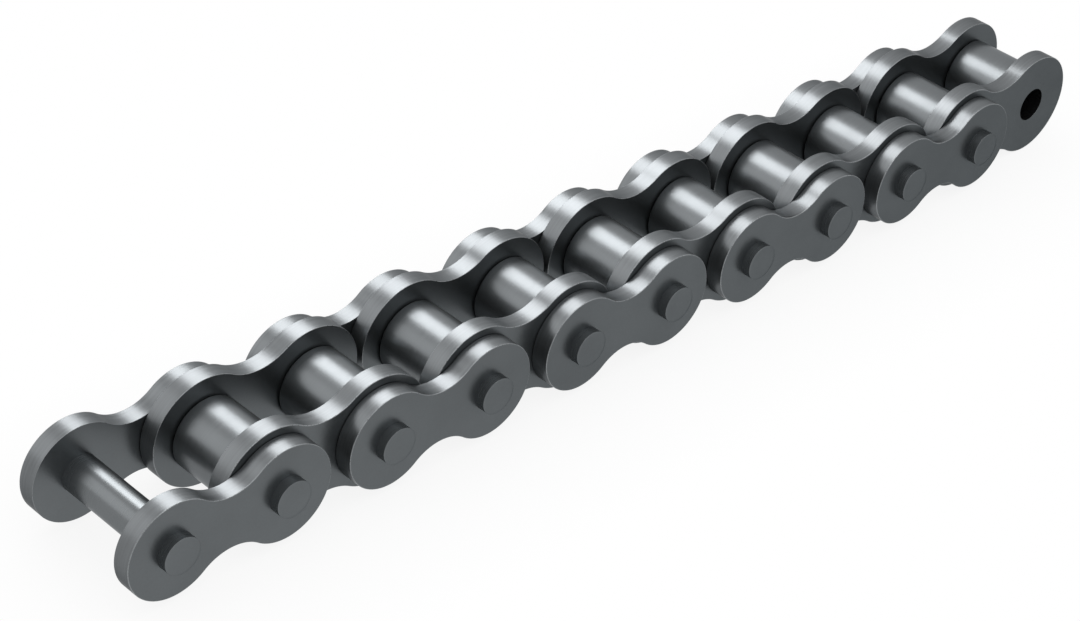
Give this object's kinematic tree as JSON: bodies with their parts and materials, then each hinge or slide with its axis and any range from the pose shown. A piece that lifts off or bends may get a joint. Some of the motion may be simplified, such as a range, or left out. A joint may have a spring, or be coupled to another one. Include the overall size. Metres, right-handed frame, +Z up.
{
  "type": "roller chain",
  "caption": "Straight strand of heavy duty roller chain: outer and inner links in turn, with turning rollers, a bare pin at one end and an empty bush at the other.",
  "frame": {"origin": "under the middle of the strand, on the surface it stands on", "axes": "+X along the strand from the bare first pin to the empty last bush, Y along the pins with -Y the front side, +Z up"},
  "size_m": [0.2764, 0.0362, 0.0241],
  "materials": {
    "outer_plate_steel": "dark oiled steel plate, ground edges",
    "inner_plate_steel": "dark oiled steel plate, ground edges",
    "pin_steel": "hardened and ground steel",
    "bush_steel": "hardened and ground steel, no seam",
    "roller_steel": "hardened steel, satin turned"
  },
  "bodies": {
    "outer_link_1": {"outer_link_1_front_plate": "outer_plate_steel", "outer_link_1_back_plate": "outer_plate_steel", "pin_01": "pin_steel", "pin_02": "pin_steel"},
    "inner_link_1": {"inner_link_1_front_plate": "inner_plate_steel", "inner_link_1_back_plate": "inner_plate_steel", "bush_02": "bush_steel", "bush_03": "bush_steel"},
    "roller_02": {"roller_02": "roller_steel"},
    "roller_03": {"roller_03": "roller_steel"},
    "outer_link_2": {"outer_link_2_front_plate": "outer_plate_steel", "outer_link_2_back_plate": "outer_plate_steel", "pin_03": "pin_steel", "pin_04": "pin_steel"},
    "inner_link_2": {"inner_link_2_front_plate": "inner_plate_steel", "inner_link_2_back_plate": "inner_plate_steel", "bush_04": "bush_steel", "bush_05": "bush_steel"},
    "roller_04": {"roller_04": "roller_steel"},
    "roller_05": {"roller_05": "roller_steel"},
    "outer_link_3": {"outer_link_3_front_plate": "outer_plate_steel", "outer_link_3_back_plate": "outer_plate_steel", "pin_05": "pin_steel", "pin_06": "pin_steel"},
    "inner_link_3": {"inner_link_3_front_plate": "inner_plate_steel", "inner_link_3_back_plate": "inner_plate_steel", "bush_06": "bush_steel", "bush_07": "bush_steel"},
    "roller_06": {"roller_06": "roller_steel"},
    "roller_07": {"roller_07": "roller_steel"},
    "outer_link_4": {"outer_link_4_front_plate": "outer_plate_steel", "outer_link_4_back_plate": "outer_plate_steel", "pin_07": "pin_steel", "pin_08": "pin_steel"},
    "inner_link_4": {"inner_link_4_front_plate": "inner_plate_steel", "inner_link_4_back_plate": "inner_plate_steel", "bush_08": "bush_steel", "bush_09": "bush_steel"},
    "roller_08": {"roller_08": "roller_steel"},
    "roller_09": {"roller_09": "roller_steel"},
    "outer_link_5": {"outer_link_5_front_plate": "outer_plate_steel", "outer_link_5_back_plate": "outer_plate_steel", "pin_09": "pin_steel", "pin_10": "pin_steel"},
    "inner_link_5": {"inner_link_5_front_plate": "inner_plate_steel", "inner_link_5_back_plate": "inner_plate_steel", "bush_10": "bush_steel", "bush_11": "bush_steel"},
    "roller_10": {"roller_10": "roller_steel"},
    "roller_11": {"roller_11": "roller_steel"}
  },
  "joints": [
    {"name": "pin_02_hinge", "type": "hinge", "parent": "outer_link_1", "child": "inner_link_1", "pos_m": [-0.10243, 0, 0.01206], "axis": [0, -1, 0], "range_deg": [-120, 120]},
    {"name": "pin_03_hinge", "type": "hinge", "parent": "inner_link_1", "child": "outer_link_2", "pos_m": [-0.07702, 0, 0.01206], "axis": [0, 1, 0], "range_deg": [-120, 120]},
    {"name": "pin_04_hinge", "type": "hinge", "parent": "outer_link_2", "child": "inner_link_2", "pos_m": [-0.05162, 0, 0.01206], "axis": [0, -1, 0], "range_deg": [-120, 120]},
    {"name": "pin_05_hinge", "type": "hinge", "parent": "inner_link_2", "child": "outer_link_3", "pos_m": [-0.02622, 0, 0.01206], "axis": [0, 1, 0], "range_deg": [-120, 120]},
    {"name": "pin_06_hinge", "type": "hinge", "parent": "outer_link_3", "child": "inner_link_3", "pos_m": [-0.00082, 0, 0.01206], "axis": [0, -1, 0], "range_deg": [-120, 120]},
    {"name": "pin_07_hinge", "type": "hinge", "parent": "inner_link_3", "child": "outer_link_4", "pos_m": [0.02457, 0, 0.01206], "axis": [0, 1, 0], "range_deg": [-120, 120]},
    {"name": "pin_08_hinge", "type": "hinge", "parent": "outer_link_4", "child": "inner_link_4", "pos_m": [0.04997, 0, 0.01206], "axis": [0, -1, 0], "range_deg": [-120, 120]},
    {"name": "pin_09_hinge", "type": "hinge", "parent": "inner_link_4", "child": "outer_link_5", "pos_m": [0.07537, 0, 0.01206], "axis": [0, 1, 0], "range_deg": [-120, 120]},
    {"name": "pin_10_hinge", "type": "hinge", "parent": "outer_link_5", "child": "inner_link_5", "pos_m": [0.10078, 0, 0.01206], "axis": [0, -1, 0], "range_deg": [-120, 120]},
    {"name": "roller_02_spin", "type": "hinge", "parent": "inner_link_1", "child": "roller_02", "pos_m": [-0.10243, 0, 0.01206], "axis": [0, 1, 0], "continuous": true},
    {"name": "roller_03_spin", "type": "hinge", "parent": "inner_link_1", "child": "roller_03", "pos_m": [-0.07702, 0, 0.01206], "axis": [0, 1, 0], "continuous": true},
    {"name": "roller_04_spin", "type": "hinge", "parent": "inner_link_2", "child": "roller_04", "pos_m": [-0.05162, 0, 0.01206], "axis": [0, 1, 0], "continuous": true},
    {"name": "roller_05_spin", "type": "hinge", "parent": "inner_link_2", "child": "roller_05", "pos_m": [-0.02622, 0, 0.01206], "axis": [0, 1, 0], "continuous": true},
    {"name": "roller_06_spin", "type": "hinge", "parent": "inner_link_3", "child": "roller_06", "pos_m": [-0.00082, 0, 0.01206], "axis": [0, 1, 0], "continuous": true},
    {"name": "roller_07_spin", "type": "hinge", "parent": "inner_link_3", "child": "roller_07", "pos_m": [0.02457, 0, 0.01206], "axis": [0, 1, 0], "continuous": true},
    {"name": "roller_08_spin", "type": "hinge", "parent": "inner_link_4", "child": "roller_08", "pos_m": [0.04997, 0, 0.01206], "axis": [0, 1, 0], "continuous": true},
    {"name": "roller_09_spin", "type": "hinge", "parent": "inner_link_4", "child": "roller_09", "pos_m": [0.07537, 0, 0.01206], "axis": [0, 1, 0], "continuous": true},
    {"name": "roller_10_spin", "type": "hinge", "parent": "inner_link_5", "child": "roller_10", "pos_m": [0.10078, 0, 0.01206], "axis": [0, 1, 0], "continuous": true},
    {"name": "roller_11_spin", "type": "hinge", "parent": "inner_link_5", "child": "roller_11", "pos_m": [0.12618, 0, 0.01206], "axis": [0, 1, 0], "continuous": true}
  ]
}
